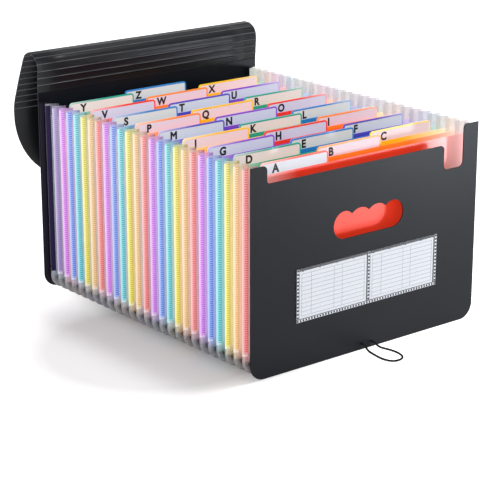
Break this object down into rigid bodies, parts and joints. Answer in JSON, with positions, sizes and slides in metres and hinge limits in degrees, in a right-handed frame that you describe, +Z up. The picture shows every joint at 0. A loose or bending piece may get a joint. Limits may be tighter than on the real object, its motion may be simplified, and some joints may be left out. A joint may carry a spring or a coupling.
{
  "type": "accordion file organizer",
  "caption": "Expanding file with stiff black covers, lettered coloured dividers in a pleated film body, a ribbed flap that folds back, a card pocket and an elastic loop.",
  "frame": {"origin": "bottom centre of the box round the covers, pockets and open flap, on the surface it stands on; the loose elastic loop is left out of that box", "axes": "+X across to the right as seen from the front cover, +Y from the front cover to the back cover, +Z up"},
  "size_m": [0.33, 0.5102, 0.2875],
  "materials": {
    "cover_plastic": "semi-matte black polypropylene sheet",
    "flap_plastic": "satin black polypropylene sheet, creased",
    "pocket_film": "clear soft film, welded",
    "card": "white card with thin grey ruled lines",
    "pleat_film": "translucent grey film, welded colour strips",
    "button_plastic": "black moulded",
    "metal": "plain steel",
    "elastic": "black braided elastic",
    "divider_red": "translucent coloured sheet",
    "divider_orange": "translucent coloured sheet",
    "divider_yellow": "translucent coloured sheet",
    "divider_teal": "translucent coloured sheet",
    "divider_blue": "translucent coloured sheet",
    "divider_indigo": "translucent coloured sheet",
    "divider_violet": "translucent coloured sheet"
  },
  "bodies": {
    "rear": {"back_cover": "cover_plastic", "bellows": "pleat_film"},
    "front": {"front_cover": "cover_plastic", "label_pocket": "pocket_film", "label_card_left": "card", "label_card_right": "card", "elastic_loop": "elastic", "loop_barb_left": "metal", "loop_barb_right": "metal"},
    "flap": {"cover_flap": "flap_plastic", "flap_button": "button_plastic", "button_rivet": "metal"},
    "sheet_a": {"divider_a": "divider_red"},
    "sheet_b": {"divider_b": "divider_orange"},
    "sheet_c": {"divider_c": "divider_yellow"},
    "sheet_d": {"divider_d": "divider_teal"},
    "sheet_e": {"divider_e": "divider_blue"},
    "sheet_f": {"divider_f": "divider_indigo"},
    "sheet_g": {"divider_g": "divider_violet"},
    "sheet_h": {"divider_h": "divider_red"},
    "sheet_i": {"divider_i": "divider_orange"},
    "sheet_j": {"divider_j": "divider_yellow"},
    "sheet_k": {"divider_k": "divider_teal"},
    "sheet_l": {"divider_l": "divider_blue"},
    "sheet_m": {"divider_m": "divider_indigo"},
    "sheet_n": {"divider_n": "divider_violet"},
    "sheet_o": {"divider_o": "divider_red"},
    "sheet_p": {"divider_p": "divider_orange"},
    "sheet_q": {"divider_q": "divider_yellow"},
    "sheet_r": {"divider_r": "divider_teal"},
    "sheet_s": {"divider_s": "divider_blue"},
    "sheet_t": {"divider_t": "divider_indigo"},
    "sheet_u": {"divider_u": "divider_violet"},
    "sheet_v": {"divider_v": "divider_red"},
    "sheet_w": {"divider_w": "divider_orange"},
    "sheet_x": {"divider_x": "divider_yellow"},
    "sheet_y": {"divider_y": "divider_teal"},
    "sheet_z": {"divider_z": "divider_blue"}
  },
  "joints": [
    {"name": "front_slide", "type": "slide", "parent": "rear", "child": "front", "axis": [0, 1, 0], "range_m": [0, 0.318], "deforming": ["bellows"]},
    {"name": "flap_hinge", "type": "hinge", "parent": "rear", "child": "flap", "pos_m": [0, 0.17044, 0.2425], "axis": [1, 0, 0], "range_deg": [-20, 95]},
    {"name": "slide_a", "type": "slide", "parent": "rear", "child": "sheet_a", "axis": [0, 1, 0], "range_m": [0, 0.3067]},
    {"name": "slide_b", "type": "slide", "parent": "rear", "child": "sheet_b", "axis": [0, 1, 0], "range_m": [0, 0.2949]},
    {"name": "slide_c", "type": "slide", "parent": "rear", "child": "sheet_c", "axis": [0, 1, 0], "range_m": [0, 0.2832]},
    {"name": "slide_d", "type": "slide", "parent": "rear", "child": "sheet_d", "axis": [0, 1, 0], "range_m": [0, 0.2714]},
    {"name": "slide_e", "type": "slide", "parent": "rear", "child": "sheet_e", "axis": [0, 1, 0], "range_m": [0, 0.2596]},
    {"name": "slide_f", "type": "slide", "parent": "rear", "child": "sheet_f", "axis": [0, 1, 0], "range_m": [0, 0.2478]},
    {"name": "slide_g", "type": "slide", "parent": "rear", "child": "sheet_g", "axis": [0, 1, 0], "range_m": [0, 0.2361]},
    {"name": "slide_h", "type": "slide", "parent": "rear", "child": "sheet_h", "axis": [0, 1, 0], "range_m": [0, 0.2243]},
    {"name": "slide_i", "type": "slide", "parent": "rear", "child": "sheet_i", "axis": [0, 1, 0], "range_m": [0, 0.2125]},
    {"name": "slide_j", "type": "slide", "parent": "rear", "child": "sheet_j", "axis": [0, 1, 0], "range_m": [0, 0.2007]},
    {"name": "slide_k", "type": "slide", "parent": "rear", "child": "sheet_k", "axis": [0, 1, 0], "range_m": [0, 0.1889]},
    {"name": "slide_l", "type": "slide", "parent": "rear", "child": "sheet_l", "axis": [0, 1, 0], "range_m": [0, 0.1772]},
    {"name": "slide_m", "type": "slide", "parent": "rear", "child": "sheet_m", "axis": [0, 1, 0], "range_m": [0, 0.1654]},
    {"name": "slide_n", "type": "slide", "parent": "rear", "child": "sheet_n", "axis": [0, 1, 0], "range_m": [0, 0.1536]},
    {"name": "slide_o", "type": "slide", "parent": "rear", "child": "sheet_o", "axis": [0, 1, 0], "range_m": [0, 0.1418]},
    {"name": "slide_p", "type": "slide", "parent": "rear", "child": "sheet_p", "axis": [0, 1, 0], "range_m": [0, 0.1301]},
    {"name": "slide_q", "type": "slide", "parent": "rear", "child": "sheet_q", "axis": [0, 1, 0], "range_m": [0, 0.1183]},
    {"name": "slide_r", "type": "slide", "parent": "rear", "child": "sheet_r", "axis": [0, 1, 0], "range_m": [0, 0.1065]},
    {"name": "slide_s", "type": "slide", "parent": "rear", "child": "sheet_s", "axis": [0, 1, 0], "range_m": [0, 0.0947]},
    {"name": "slide_t", "type": "slide", "parent": "rear", "child": "sheet_t", "axis": [0, 1, 0], "range_m": [0, 0.0829]},
    {"name": "slide_u", "type": "slide", "parent": "rear", "child": "sheet_u", "axis": [0, 1, 0], "range_m": [0, 0.0712]},
    {"name": "slide_v", "type": "slide", "parent": "rear", "child": "sheet_v", "axis": [0, 1, 0], "range_m": [0, 0.0594]},
    {"name": "slide_w", "type": "slide", "parent": "rear", "child": "sheet_w", "axis": [0, 1, 0], "range_m": [0, 0.0476]},
    {"name": "slide_x", "type": "slide", "parent": "rear", "child": "sheet_x", "axis": [0, 1, 0], "range_m": [0, 0.0358]},
    {"name": "slide_y", "type": "slide", "parent": "rear", "child": "sheet_y", "axis": [0, 1, 0], "range_m": [0, 0.0241]},
    {"name": "slide_z", "type": "slide", "parent": "rear", "child": "sheet_z", "axis": [0, 1, 0], "range_m": [0, 0.0123]}
  ],
  "couplings": [
    {"joint": "slide_a", "follows": "front_slide", "ratio": 0.96296},
    {"joint": "slide_b", "follows": "front_slide", "ratio": 0.92593},
    {"joint": "slide_c", "follows": "front_slide", "ratio": 0.88889},
    {"joint": "slide_d", "follows": "front_slide", "ratio": 0.85185},
    {"joint": "slide_e", "follows": "front_slide", "ratio": 0.81481},
    {"joint": "slide_f", "follows": "front_slide", "ratio": 0.77778},
    {"joint": "slide_g", "follows": "front_slide", "ratio": 0.74074},
    {"joint": "slide_h", "follows": "front_slide", "ratio": 0.7037},
    {"joint": "slide_i", "follows": "front_slide", "ratio": 0.66667},
    {"joint": "slide_j", "follows": "front_slide", "ratio": 0.62963},
    {"joint": "slide_k", "follows": "front_slide", "ratio": 0.59259},
    {"joint": "slide_l", "follows": "front_slide", "ratio": 0.55556},
    {"joint": "slide_m", "follows": "front_slide", "ratio": 0.51852},
    {"joint": "slide_n", "follows": "front_slide", "ratio": 0.48148},
    {"joint": "slide_o", "follows": "front_slide", "ratio": 0.44444},
    {"joint": "slide_p", "follows": "front_slide", "ratio": 0.40741},
    {"joint": "slide_q", "follows": "front_slide", "ratio": 0.37037},
    {"joint": "slide_r", "follows": "front_slide", "ratio": 0.33333},
    {"joint": "slide_s", "follows": "front_slide", "ratio": 0.2963},
    {"joint": "slide_t", "follows": "front_slide", "ratio": 0.25926},
    {"joint": "slide_u", "follows": "front_slide", "ratio": 0.22222},
    {"joint": "slide_v", "follows": "front_slide", "ratio": 0.18518},
    {"joint": "slide_w", "follows": "front_slide", "ratio": 0.14815},
    {"joint": "slide_x", "follows": "front_slide", "ratio": 0.11111},
    {"joint": "slide_y", "follows": "front_slide", "ratio": 0.074074},
    {"joint": "slide_z", "follows": "front_slide", "ratio": 0.037037}
  ]
}
